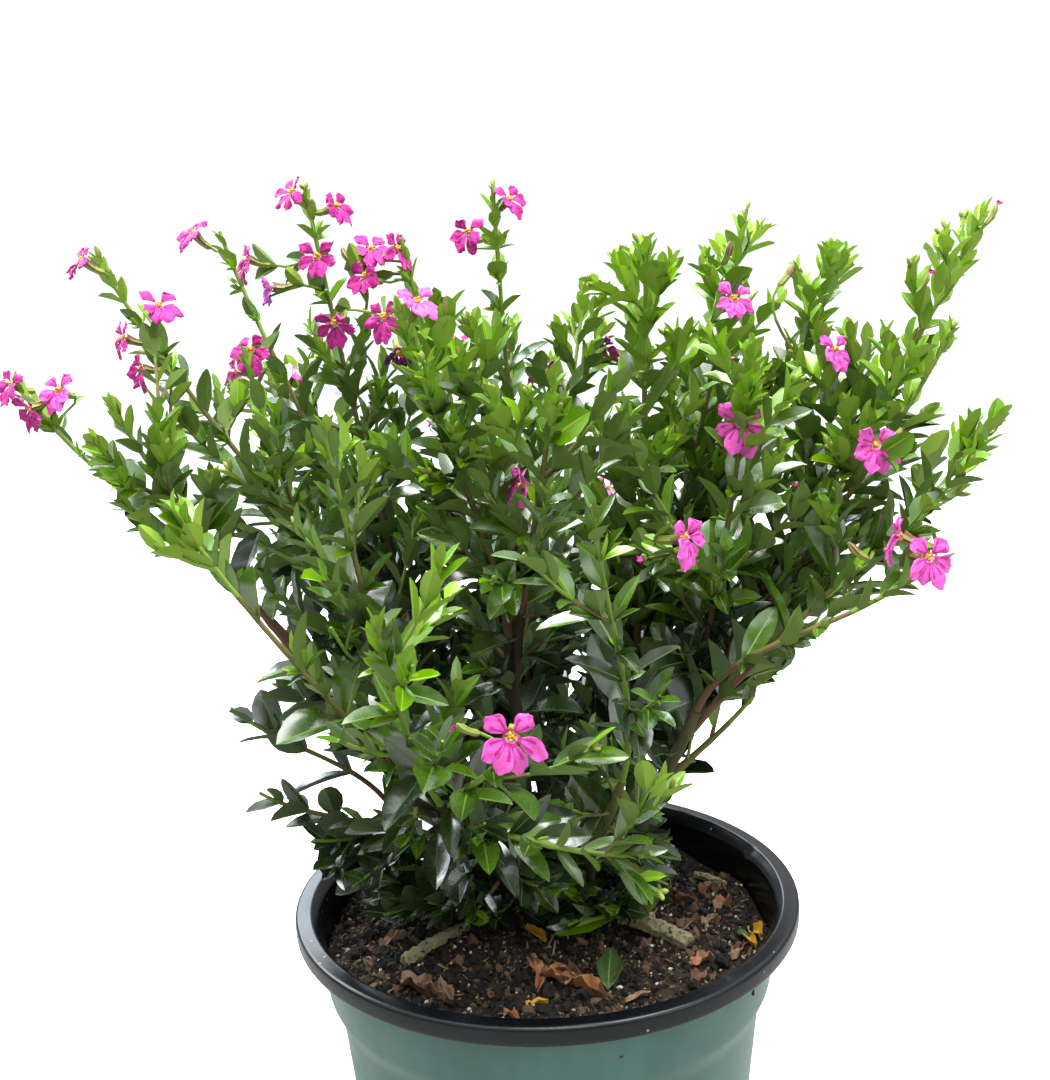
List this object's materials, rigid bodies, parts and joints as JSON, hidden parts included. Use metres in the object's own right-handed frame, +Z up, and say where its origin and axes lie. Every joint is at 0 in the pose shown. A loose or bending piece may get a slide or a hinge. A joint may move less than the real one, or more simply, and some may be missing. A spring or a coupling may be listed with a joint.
{
  "type": "potted cuphea",
  "caption": "Small evergreen flowering shrub, a cuphea or false heather, with leafy upright and arching shoots and little magenta flowers, in soil in a tapered nursery pot with a rolled rim.",
  "frame": {"origin": "centre of the pot's flat underside", "axes": "+Z up through the plant, the front, which the picture shows, towards -Y, and +X to the right as seen from the front"},
  "size_m": [0.2744, 0.241, 0.3541],
  "materials": {
    "pot_plastic": "satin teal green moulded plastic, scuffed, with a matt black rim and inside",
    "potting_soil": "moist dark potting mix with bark chips and white perlite",
    "bark": "thin red-brown bark, finely ridged, green towards the tips",
    "foliage": "small glossy leaves, dark green when old and lime green when young",
    "petals": "thin crinkled magenta petals on ribbed yellow-green calyx tubes"
  },
  "bodies": {
    "root": {"pot": "pot_plastic", "soil": "potting_soil", "stem_left": "bark", "stem_left_front": "bark", "stem_left_low": "bark", "stem_front_left": "bark", "stem_front": "bark", "stem_centre": "bark", "stem_right": "bark", "stem_right_front": "bark", "stem_back_left": "bark", "stem_back": "bark", "stem_back_right": "bark", "stem_back_low": "bark", "bough_left_mid": "bark", "bough_left_inner": "bark", "bough_centre": "bark", "bough_right_mid": "bark", "bough_right_inner": "bark", "bough_back_left_reach": "bark", "bough_back_left_top": "bark", "bough_back_left_rear": "bark", "bough_back_reach": "bark", "bough_back_right_reach": "bark", "bough_back_right_rear": "bark", "foliage_left_reach": "foliage", "foliage_left_mid": "foliage", "foliage_left_inner": "foliage", "foliage_left_under": "foliage", "foliage_left_low": "foliage", "foliage_left_lowest": "foliage", "foliage_left_front": "foliage", "foliage_left_front_inner": "foliage", "foliage_front_left": "foliage", "foliage_front_bloom": "foliage", "foliage_front_low": "foliage", "foliage_front": "foliage", "foliage_centre_left": "foliage", "foliage_centre": "foliage", "foliage_right_high": "foliage", "foliage_right_mid": "foliage", "foliage_right_inner": "foliage", "foliage_right_front": "foliage", "foliage_right_low": "foliage", "foliage_right_lowest": "foliage", "foliage_back_left_reach": "foliage", "foliage_back_left_high": "foliage", "foliage_back_left_top": "foliage", "foliage_back_left_rear": "foliage", "foliage_top_left": "foliage", "foliage_top": "foliage", "foliage_back_reach": "foliage", "foliage_back_top": "foliage", "foliage_top_right": "foliage", "foliage_back_right_top": "foliage", "foliage_back_right_reach": "foliage", "foliage_back_right_rear": "foliage", "foliage_back_low": "foliage", "foliage_back_low_right": "foliage", "foliage_back_low_left": "foliage"}
  },
  "joints": []
}
